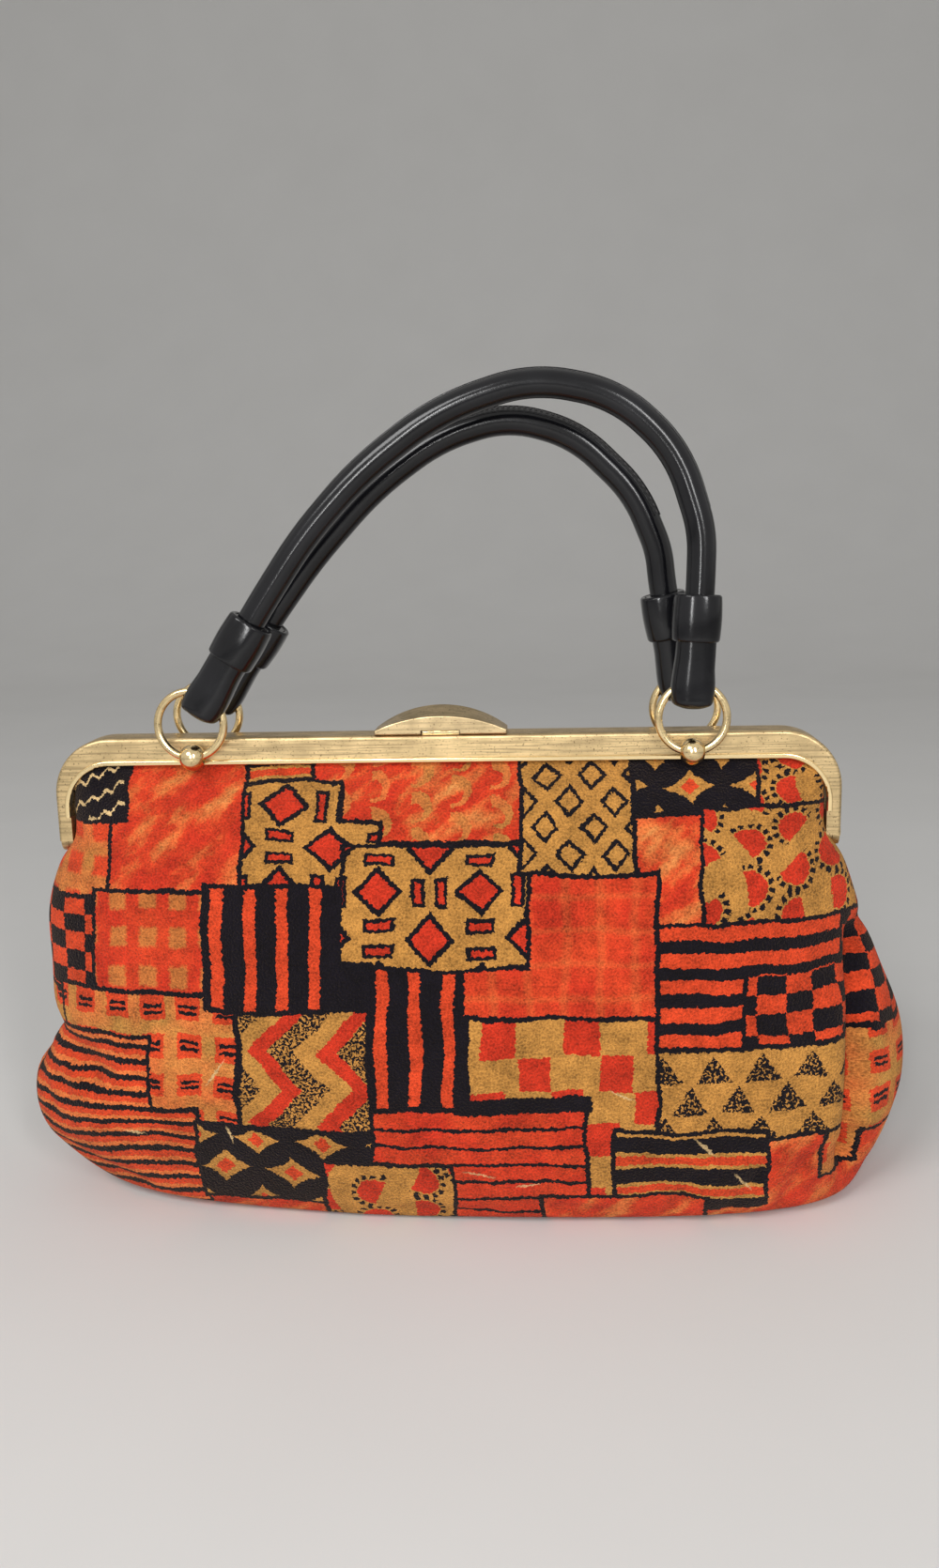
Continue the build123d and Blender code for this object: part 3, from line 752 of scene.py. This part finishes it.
def carpet_cloth():
    """Cut pile in black-edged patches of red, gold and black."""
    g = Graph("carpet_cloth")
    uv = g.add("ShaderNodeUVMap", uv_map="cloth").outputs["UV"]
    moved = uv
    for scale, reach in WOBBLES:
        wobble = g.noise(uv, scale, 1.0).outputs["Color"]
        shift = g.add("ShaderNodeVectorMath", {0: wobble, 1: (0.5, 0.5, 0.5)}, operation="SUBTRACT")
        inputs = {0: shift.outputs[0], 1: (reach, reach, 0.0), 2: moved}
        moved = g.add("ShaderNodeVectorMath", inputs, operation="MULTIPLY_ADD").outputs[0]
    parts = g.add("ShaderNodeSeparateXYZ", {0: moved})
    u, v = parts.outputs["X"], parts.outputs["Y"]
    motifs = {}
    colour = BLACK
    for motif, *boxes in PATCHES:
        if motif not in motifs:
            motifs[motif] = motif(g, u, v)
        edge = -1000.0
        for left, top, right, bottom in boxes:
            off_u = g.math("ABSOLUTE", g.math("SUBTRACT", u, (left + right) / 2))
            off_v = g.math("ABSOLUTE", g.math("SUBTRACT", v, (top + bottom) / 2))
            inside_u = g.math("SUBTRACT", (right - left) / 2, off_u)
            inside_v = g.math("SUBTRACT", (bottom - top) / 2, off_v)
            edge = g.either(edge, g.math("MINIMUM", inside_u, inside_v))
        field = g.mix(g.math("GREATER_THAN", edge, OUTLINE), BLACK, motifs[motif])
        colour = g.mix(g.math("GREATER_THAN", edge, 0.0), colour, field)
    # Painted highlights: short pale marks where the pile catches the light
    for middle_u, middle_v, reach, width, slope in PILE_HIGHLIGHTS:
        cosine, sine = math.cos(math.radians(slope)), math.sin(math.radians(slope))
        off_u, off_v = g.math("SUBTRACT", u, middle_u), g.math("SUBTRACT", v, middle_v)
        a = g.math("MULTIPLY_ADD", off_v, sine / reach, g.math("MULTIPLY", off_u, cosine / reach))
        b = g.math("MULTIPLY_ADD", off_v, cosine / width, g.math("MULTIPLY", off_u, -sine / width))
        spread = g.math("ADD", g.both(a, a), g.both(b, b))
        painted_highlight = g.math("MULTIPLY", g.ramp(spread, 1.6, 0.4), PILE_HIGHLIGHT_STRENGTH)
        colour = g.mix(painted_highlight, colour, CREAM)
    # Painted shade and sheen of the pile, multiplied into the colour
    shade = SHADE_BASE
    for scale, detail, low, high, share in SHADES:
        pile = g.noise(uv, scale, detail).outputs["Fac"]
        shade = g.math("MULTIPLY_ADD", g.ramp(pile, low, high), share, shade)
    tuft = g.noise(uv, *TUFT).outputs["Fac"]
    painted_shade = g.add("ShaderNodeCombineColor", {0: shade, 1: shade, 2: shade}).outputs[0]
    g.put(g.shader.inputs["Base Color"], g.mix(1.0, colour, painted_shade, "MULTIPLY"))
    g.put(g.shader.inputs["Normal"], g.bump(tuft, 1.0, TUFT_HEIGHT * MM))
    g.shader.inputs["Roughness"].default_value = 0.95
    g.shader.inputs["Specular IOR Level"].default_value = 0.12
    g.shader.inputs["Sheen Weight"].default_value = 0.10
    g.shader.inputs["Sheen Roughness"].default_value = 0.5
    g.shader.inputs["Sheen Tint"].default_value = (1.0, 0.72, 0.5, 1)
    return g.material


def gilt(name, base, roughness, brushed, bead=False):
    """Worn gilt: fine lengthwise scratches with painted dark reflection streaks along them, dull patches,
    dark specks, and a polished bead along the lip.
    """
    g = Graph(name)
    place = g.add("ShaderNodeTexCoord").outputs["Object"]
    stretched = g.add("ShaderNodeMapping", {"Vector": place, "Scale": (40, 1300, 1300)}).outputs[0]
    scratch_and_reflection = g.noise(stretched, 1.0, 3.0).outputs["Fac"]
    wear = g.noise(place, 110.0, 4.0).outputs["Fac"]
    speck = g.noise(place, 1500.0, 1.0).outputs["Fac"]
    dull = tuple(DULL_SHARE * channel for channel in base)
    colour = g.mix(g.math("MULTIPLY", g.ramp(wear, 0.42, 0.72), WEAR), base, dull)
    # Painted dark reflection streaks along the lengthwise scratches
    colour = g.mix(g.math("MULTIPLY", g.ramp(scratch_and_reflection, 0.46, 0.62), brushed), colour, dull)
    colour = g.mix(g.math("MULTIPLY", g.ramp(speck, 0.64, 0.72), SPECKS), colour, SPECK_COLOUR)
    rough = g.math("MULTIPLY_ADD", g.ramp(wear, 0.3, 0.7), 0.12, roughness)
    rough = g.math("MULTIPLY_ADD", scratch_and_reflection, 0.25 * brushed, rough)
    if bead:
        y = g.add("ShaderNodeSeparateXYZ", {0: place}).outputs["Y"]
        lip = g.math("GREATER_THAN", g.math("ABSOLUTE", y), BEAD_Y * MM)
        colour = g.mix(lip, colour, BEAD_GILT)
        rough = g.mix(lip, rough, (BEAD_ROUGH, BEAD_ROUGH, BEAD_ROUGH))
    g.put(g.shader.inputs["Base Color"], colour)
    g.put(g.shader.inputs["Roughness"], rough)
    g.put(g.shader.inputs["Normal"], g.bump(scratch_and_reflection, 0.25 * brushed + 0.05, 0.0001))
    g.shader.inputs["Metallic"].default_value = 1.0
    return g.material


def leather():
    """Polished black leather: fine grain, faint creases, worn lustre."""
    g = Graph("handle_leather")
    place = g.add("ShaderNodeTexCoord").outputs["Object"]
    grain = g.add("ShaderNodeTexVoronoi", {"Vector": place, "Scale": 1500.0}).outputs["Distance"]
    crease = g.noise(place, 260.0, 4.0).outputs["Fac"]
    worn = g.noise(place, 45.0, 3.0).outputs["Fac"]
    colour = g.mix(g.ramp(worn, 0.35, 0.75), *LEATHER_COLOURS)
    g.put(g.shader.inputs["Base Color"], colour)
    g.put(g.shader.inputs["Roughness"], g.math("MULTIPLY_ADD", worn, 0.10, 0.13))
    fine = g.bump(grain, 0.05, 0.0002)
    g.put(g.shader.inputs["Normal"], g.bump(crease, 0.07, 0.0004, fine))
    g.shader.inputs["Specular IOR Level"].default_value = 0.28
    g.shader.inputs["Coat Weight"].default_value = 0.16
    g.shader.inputs["Coat Roughness"].default_value = 0.12
    return g.material


def thread():
    """Waxed black thread with a twist."""
    g = Graph("thread")
    place = g.add("ShaderNodeTexCoord").outputs["Object"]
    twist = g.noise(place, 2600.0, 1.0).outputs["Fac"]
    g.put(g.shader.inputs["Base Color"], g.mix(twist, *THREAD_COLOURS))
    g.put(g.shader.inputs["Normal"], g.bump(twist, 0.5, 0.0002))
    g.shader.inputs["Roughness"].default_value = 0.55
    return g.material


def lining_cloth():
    """Plain-woven dark lining."""
    g = Graph("lining_cloth")
    uv = g.add("ShaderNodeUVMap", uv_map="cloth").outputs["UV"]
    parts = g.add("ShaderNodeSeparateXYZ", {0: uv})
    turn = 2 * math.pi / WEAVE_PITCH
    over = g.math("SINE", g.math("MULTIPLY", parts.outputs["X"], turn))
    under = g.math("SINE", g.math("MULTIPLY", parts.outputs["Y"], turn))
    weave = g.math("MULTIPLY_ADD", g.both(over, under), 0.5, 0.5)
    slub = g.noise(uv, 0.12, 3.0).outputs["Fac"]
    colour = g.mix(weave, *LINING_COLOURS)
    g.put(g.shader.inputs["Base Color"], g.mix(g.ramp(slub, 0.35, 0.7), colour, SLUB_COLOUR))
    g.put(g.shader.inputs["Normal"], g.bump(weave, 0.4, 0.0003))
    g.shader.inputs["Roughness"].default_value = 0.85
    return g.material


def board():
    """Grey-brown fibre board."""
    g = Graph("board")
    place = g.add("ShaderNodeTexCoord").outputs["Object"]
    fibre = g.noise(place, 900.0, 3.0).outputs["Fac"]
    cloud = g.noise(place, 40.0, 2.0).outputs["Fac"]
    colour = g.mix(fibre, *BOARD_COLOURS)
    g.put(g.shader.inputs["Base Color"], g.mix(g.math("MULTIPLY", cloud, 0.5), colour, STAIN_COLOUR))
    g.put(g.shader.inputs["Normal"], g.bump(fibre, 0.3, 0.0003))
    g.shader.inputs["Roughness"].default_value = 0.92
    return g.material


def floor_paint():
    """Matt pale floor with a trace of grain."""
    g = Graph("floor")
    place = g.add("ShaderNodeTexCoord").outputs["Object"]
    cloud = g.noise(place, 8.0, 4.0).outputs["Fac"]
    g.put(g.shader.inputs["Base Color"], g.mix(cloud, *FLOOR_COLOURS))
    g.shader.inputs["Roughness"].default_value = 0.85
    return g.material


def tube_points(path, radius, sides):
    """Rings of points round a path, and the quads between them."""
    points, faces = [], []
    for i, here in enumerate(path):
        way = (path[min(i + 1, len(path) - 1)] - path[max(i - 1, 0)]).normalized()
        across = way.cross(Vector((0, 1, 0))).normalized()
        up = across.cross(way)
        for j in range(sides):
            turn = 2 * math.pi * j / sides
            points.append(here + (across * math.cos(turn) + up * math.sin(turn)) * radius)
    for i in range(len(path) - 1):
        for j in range(sides):
            after = (j + 1) % sides
            faces.append((i * sides + j, i * sides + after, (i + 1) * sides + after, (i + 1) * sides + j))
    last = (len(path) - 1) * sides
    faces.append(tuple(range(sides))[::-1])
    faces.append(tuple(last + j for j in range(sides)))
    return points, faces


def handle_seam(name, side, hide, sewing):
    """Two fine leather edges along a handle's inner shoulder, with a row of stitches between them."""
    mesh = frame["nodes"][name + "_handle"].data
    tree = BVHTree.FromPolygons([v.co for v in mesh.vertices], [tuple(f.vertices) for f in mesh.polygons])
    low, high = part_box(name + "_handle")
    hub = Vector(((low[0] + high[0]) / 2 + SEAM_HUB[0] * MM, 0, low[2] + SEAM_HUB[1] * MM))
    hub.y = side * HANDLE_Y * MM
    rows = {shift: [] for shift in (-SEAM_SPREAD, 0, SEAM_SPREAD)}
    for angle in np.radians(np.linspace(*SEAM_ANGLES, SEAM_STEPS)):
        way = Vector((math.cos(angle), 0, math.sin(angle)))
        inner = tree.ray_cast(hub, way)[0]
        if inner is None:
            continue
        outer = tree.ray_cast(inner + way * SEAM_STEP_IN * MM, way)[0]
        if outer is None:
            continue
        middle = (inner + outer) / 2
        for shift, row in rows.items():
            slant = math.radians(SEAM_SLANT) + shift
            out = way * math.sin(slant) + Vector((0, -side * math.cos(slant), 0))
            hit = tree.ray_cast(middle + out * SEAM_REACH * MM, -out)[0]
            if hit is not None:
                row.append(hit)
    points, faces, kinds = [], [], []
    for shift, row in rows.items():
        if shift:
            pieces = [(row, SEAM_EDGE * MM)]
        else:
            starts = range(0, len(row) - STITCH_POINTS, STITCH_PITCH)
            pieces = [(row[i:i + STITCH_POINTS], SEAM_THREAD * MM) for i in starts]
        for path, radius in pieces:
            made, quads = tube_points(path, radius, SEAM_SIDES)
            faces += [tuple(len(points) + k for k in quad) for quad in quads]
            kinds += [0 if shift else 1] * len(quads)
            points += made
    made = bpy.data.meshes.new(name + "_seam")
    made.from_pydata([tuple(point) for point in points], [], faces)
    made.materials.append(hide)
    made.materials.append(sewing)
    made.polygons.foreach_set("material_index", kinds)
    made.polygons.foreach_set("use_smooth", [True] * len(faces))
    obj = bpy.data.objects.new(name + "_seam", made)
    bpy.context.scene.collection.objects.link(obj)
    return obj


def handle_ends(name, side, piece, levels, ring_shaped):
    """Rounded leather round both ends of a handle: closed at its two tips, or a band with a hollow middle."""
    low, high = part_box(name + "_lugs")
    ball = (high[2] - low[2]) / 2
    rise = Matrix.Translation((0, 0, RING_RADIUS * MM))
    turns = np.linspace(0, 2 * np.pi, END_SIDES, endpoint=False)
    across = np.sign(np.cos(turns)) * np.abs(np.cos(turns)) ** (2 / END_SQUARE)
    deep = np.sign(np.sin(turns)) * np.abs(np.sin(turns)) ** (2 / END_SQUARE)
    shape = bmesh.new()
    for end, tilt in zip((-1, 1), HANDLE_TILTS[side]):
        lug = Vector((end * (high[0] - ball), side * HANDLE_Y * MM, (low[2] + high[2]) / 2))
        place = Matrix.Translation(lug) @ Matrix.Rotation(math.radians(side * HANDLE_LEAN), 4, "X")
        place = place @ rise @ Matrix.Rotation(math.radians(tilt), 4, "Y") @ rise
        loops = []
        for z, wide, thick in spline(levels, END_STEPS):
            spots = [Vector((wide * a, thick * b, z)) * MM for a, b in zip(across, deep)]
            loops.append([shape.verts.new(place @ spot) for spot in spots])
        pairs = list(zip(loops, loops[1:]))
        if ring_shaped:
            pairs.append((loops[-1], loops[0]))
        else:
            shape.faces.new(loops[0][::-1])
            shape.faces.new(loops[-1])
        for lower, upper in pairs:
            for j in range(END_SIDES):
                after = (j + 1) % END_SIDES
                shape.faces.new((lower[j], lower[after], upper[after], upper[j]))
    bmesh.ops.recalc_face_normals(shape, faces=shape.faces)
    mesh = bpy.data.meshes.new(name + piece)
    shape.to_mesh(mesh)
    shape.free()
    mesh.polygons.foreach_set("use_smooth", [True] * len(mesh.polygons))
    obj = bpy.data.objects.new(name + piece, mesh)
    bpy.context.scene.collection.objects.link(obj)
    return obj


def paint(obj, material):
    """The object's one material."""
    obj.data.materials.clear()
    obj.data.materials.append(material)


def camera():
    """The photo's viewpoint, fitted from the frame's edges, the lugs and the clasp."""
    data = bpy.data.cameras.new("camera")
    data.sensor_fit = "VERTICAL"
    data.sensor_height = sensor_height
    data.lens = focal_pixels * sensor_height / photo_height
    obj = bpy.data.objects.new("camera", data)
    azimuth = math.radians(camera_azimuth)
    elevation = math.radians(camera_elevation)
    reach = Vector((math.sin(azimuth) * math.cos(elevation), -math.cos(azimuth) * math.cos(elevation),
                    math.sin(elevation)))
    target = Vector(camera_target) * MM
    turn = (-reach).to_track_quat("-Z", "Y").to_matrix().to_4x4()
    roll = Matrix.Rotation(math.radians(camera_roll), 4, "Z")
    obj.matrix_world = Matrix.Translation(target + reach * camera_distance * MM) @ turn @ roll
    bpy.context.scene.collection.objects.link(obj)
    bpy.context.scene.camera = obj


def area_light(name, place, target, size, power):
    """Soft box that faces a point."""
    data = bpy.data.lights.new(name, "AREA")
    data.shape = "RECTANGLE"
    data.size, data.size_y = size
    data.energy = power
    obj = bpy.data.objects.new(name, data)
    obj.location = place
    obj.rotation_euler = (Vector(target) - Vector(place)).to_track_quat("-Z", "Y").to_euler()
    bpy.context.scene.collection.objects.link(obj)


def floor():
    """Plain pale floor that curves up into a backdrop."""
    profile = [(-FLOOR_REACH, 0.0), (FLOOR_BACK, 0.0)]
    for turn in np.linspace(0, math.pi / 2, COVE_STEPS)[1:]:
        profile.append((FLOOR_BACK + COVE_RADIUS * math.sin(turn), COVE_RADIUS * (1 - math.cos(turn))))
    profile.append((FLOOR_BACK + COVE_RADIUS, BACKDROP_HEIGHT))
    points = [(x, y, z) for y, z in profile for x in (-FLOOR_REACH, FLOOR_REACH)]
    faces = [(2 * i, 2 * i + 1, 2 * i + 3, 2 * i + 2) for i in range(len(profile) - 1)]
    mesh = bpy.data.meshes.new("floor")
    mesh.from_pydata(points, [], faces)
    mesh.polygons.foreach_set("use_smooth", [True] * len(faces))
    obj = bpy.data.objects.new("floor", mesh)
    bpy.context.scene.collection.objects.link(obj)
    paint(obj, floor_paint())


def world():
    """Even pale surroundings, and a pale backdrop behind the bag."""
    made = bpy.data.worlds.new("world")
    made.use_nodes = True
    tree = made.node_tree
    background = tree.nodes["Background"]
    background.inputs["Color"].default_value = WORLD_COLOUR
    background.inputs["Strength"].default_value = WORLD_STRENGTH
    seen = tree.nodes.new("ShaderNodeBackground")
    seen.inputs["Color"].default_value = SEEN_COLOUR
    path = tree.nodes.new("ShaderNodeLightPath")
    looked_at = path.outputs["Is Camera Ray"]
    for ray in ("Is Glossy Ray", "Is Transmission Ray"):
        either = tree.nodes.new("ShaderNodeMath")
        either.operation = "MAXIMUM"
        tree.links.new(looked_at, either.inputs[0])
        tree.links.new(path.outputs[ray], either.inputs[1])
        looked_at = either.outputs[0]
    shade = tree.nodes.new("ShaderNodeMixShader")
    tree.links.new(looked_at, shade.inputs[0])
    tree.links.new(background.outputs[0], shade.inputs[1])
    tree.links.new(seen.outputs[0], shade.inputs[2])
    tree.links.new(shade.outputs[0], tree.nodes["World Output"].inputs["Surface"])
    bpy.context.scene.world = made


def shaped_board():
    """Stiff board in the bottom of the bag, cut to the cloth's own outline there."""
    left, right, depth_share, *squares = LEVELS[BOARD_LEVEL][1:]
    ends = (BOARD_SHARE * left, BOARD_SHARE * right, BOARD_SHARE * depth_share * half_depth)
    x, y = section(*ends, *squares, BOARD_STEPS)[:2]
    outline = list(zip(x, y)) + list(zip(x[-2:0:-1], -y[-2:0:-1]))
    shape = bmesh.new()
    low = [shape.verts.new((px * MM, py * MM, BOARD_BOTTOM * MM)) for px, py in outline]
    shape.faces.new(low[::-1])
    high = [shape.verts.new((px * MM, py * MM, BOARD_TOP * MM)) for px, py in outline]
    shape.faces.new(high)
    for i in range(len(outline)):
        after = (i + 1) % len(outline)
        shape.faces.new((low[i], low[after], high[after], high[i]))
    bmesh.ops.recalc_face_normals(shape, faces=shape.faces)
    mesh = bpy.data.meshes.new("shaped_board")
    shape.to_mesh(mesh)
    shape.free()
    obj = bpy.data.objects.new("shaped_board", mesh)
    bpy.context.scene.collection.objects.link(obj)
    paint(obj, board())
    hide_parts("base_board")
    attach(obj, "bag")


def make_cloth():
    """Both halves of the cloth and lining: the back stays with the bag."""
    carpet = carpet_cloth()
    lining = lining_cloth()
    replaced = {FRONT: ("upper_front_panel", "lower_front_panel"),
                BACK: ("upper_back_panel", "lower_back_panel", "left_gusset", "right_gusset", "base_panel")}
    made = {}
    for side, name in ((FRONT, "front"), (BACK, "back")):
        grid, normals, along, down = cloth_half(side, *CLOTH_GRID)
        inner = grid - normals * CLOTH_THICKNESS
        cloth = sheet_object(name + "_cloth", grid, inner, along, down, side)
        paint(cloth, carpet)
        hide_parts(*replaced[side])
        grid, normals, along, down = cloth_half(side, *LINING_GRID)
        outer = grid - normals * LINING_INSET
        inner = outer - normals * LINING_THICKNESS
        inside = sheet_object(name + "_lining", outer, inner, along, down, side)
        paint(inside, lining)
        made[side] = (cloth, inside)
    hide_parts("lining")
    for obj in made[FRONT]:
        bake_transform(obj)
    for obj in made[BACK]:
        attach(obj, "bag")


def dress_nodes():
    """Metal and leather surfaces, and the handles' seams, folded ends and bands."""
    band = gilt("gilt_band", BAND_GILT, 0.24, 0.8, bead=True)
    polished = gilt("gilt_polished", BEAD_GILT, 0.12, 0.15)
    plate = gilt("gilt_plate", CLASP_GILT, 0.26, 0.5)
    hide = leather()
    surfaces = {"handle_leather": hide, "gilt": polished}
    special = {"front_frame": band, "back_frame": band, "clasp_lever": plate, "clasp_base": plate}
    for part in frame["record"]["subparts"]:
        surface = special.get(part["node"], surfaces.get(part["material_slot"]))
        if surface:
            paint(frame["nodes"][part["node"]], surface)
    for side, name in ((FRONT, "front"), (BACK, "back")):
        seam = handle_seam(name, side, hide, thread())
        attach(seam, name + "_grip")
        fold = handle_ends(name, side, "_folds", FOLD_LEVELS, False)
        paint(fold, hide)
        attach(fold, name + "_grip")
        keeper = handle_ends(name, side, "_bands", BAND_LEVELS, True)
        paint(keeper, hide)
        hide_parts(name + "_keepers")
        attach(keeper, name + "_grip")


bpy.context.scene.view_settings.view_transform = "Standard"
shaped_board()
make_cloth()
dress_nodes()
camera()
floor()
world()
for lamp in LAMPS:
    area_light(*lamp)
